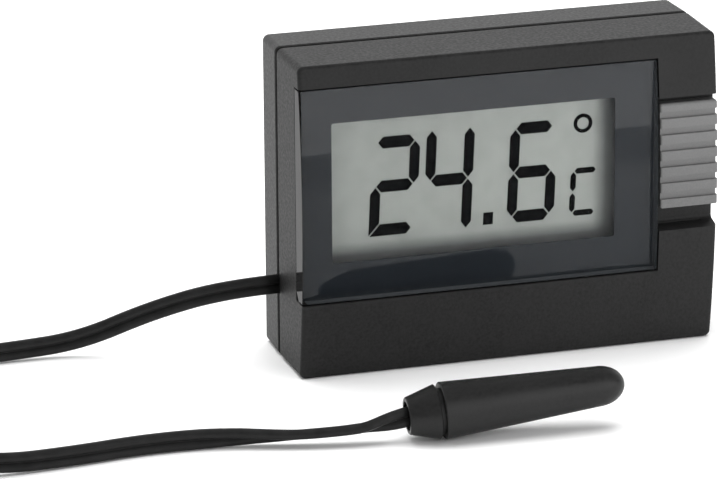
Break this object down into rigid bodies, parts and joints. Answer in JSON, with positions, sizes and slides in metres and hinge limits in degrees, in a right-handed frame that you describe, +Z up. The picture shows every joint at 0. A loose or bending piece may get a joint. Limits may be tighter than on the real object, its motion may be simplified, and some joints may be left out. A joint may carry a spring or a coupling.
{
  "type": "darkroom thermometer",
  "caption": "Small digital thermometer with a liquid-crystal display, a slide switch on the front edge, a sliding battery door behind and a tapered probe on a flat lead.",
  "frame": {"origin": "middle of the flat underside of the case, midway between its sides and between the crown of its front and its back", "axes": "+X to the right as the display is read, +Y to the back of the case, +Z up; the display faces -Y"},
  "size_m": [0.1412, 0.0483, 0.04],
  "materials": {
    "shell_front": "fine spark-eroded matt texture",
    "shell_rear": "fine spark-eroded matt texture",
    "door_plastic": "fine spark-eroded matt texture",
    "window_lens": "polished clear acrylic",
    "window_mask": "glossy printed film",
    "inner_black": "moulded",
    "polariser": "clear film",
    "lcd_glass": "polished",
    "lcd_ink": "lit liquid-crystal segments",
    "reflector": "grey-green reflective film",
    "elastomer": "matt",
    "knob_plastic": "moulded, slightly satin",
    "spring_metal": "plated",
    "gold_pad": "gold-flashed",
    "board": "solder mask over glass fibre",
    "epoxy": "glossy",
    "component_black": "matt",
    "component_tan": "matt",
    "cell_steel": "plated",
    "cell_fill": "compressed powder",
    "screw_steel": "zinc plated",
    "lead_jacket": "glossy flexible jacket",
    "solder": "bright",
    "tie_plastic": "moulded",
    "probe_plastic": "satin moulded",
    "potting": "cast resin",
    "copper_wire": "drawn wire, stands in for copper"
  },
  "bodies": {
    "case": {"front_shell": "shell_front", "rear_shell": "shell_rear", "display_window": "window_lens", "window_mask": "window_mask", "lcd_frame": "inner_black", "lcd_front_polariser": "polariser", "lcd_upper_glass": "lcd_glass", "lcd_segments": "lcd_ink", "lcd_lower_glass": "lcd_glass", "lcd_rear_reflector": "reflector", "zebra_strip": "elastomer", "switch_pads": "gold_pad", "circuit_board": "board", "chip_blob": "epoxy", "chip_resistors": "component_black", "chip_capacitors": "component_tan", "room_thermistor": "epoxy", "battery_contact_negative": "spring_metal", "battery_contact_positive": "spring_metal", "cell_can": "cell_steel", "cell_gasket": "elastomer", "cell_cap": "cell_steel", "cell_core": "cell_fill", "case_screws": "screw_steel", "board_screws": "screw_steel", "lead_tail": "lead_jacket", "lead_cores": "lead_jacket", "solder_joints": "solder", "lead_case_run": "lead_jacket", "lead_probe_run": "lead_jacket", "lead_coil": "lead_jacket", "lead_tie": "tie_plastic", "probe_cap": "probe_plastic", "probe_sleeve": "probe_plastic", "probe_potting": "potting", "probe_thermistor": "epoxy", "probe_wires": "copper_wire"},
    "switch": {"slide_knob": "knob_plastic", "wiper_contact": "spring_metal"},
    "door": {"battery_door": "door_plastic"}
  },
  "joints": [
    {"name": "switch_slide", "type": "slide", "parent": "case", "child": "switch", "axis": [0, 0, -1], "range_m": [0, 0.0022]},
    {"name": "door_slide", "type": "slide", "parent": "case", "child": "door", "axis": [1, 0, 0], "range_m": [0, 0.0165]}
  ]
}
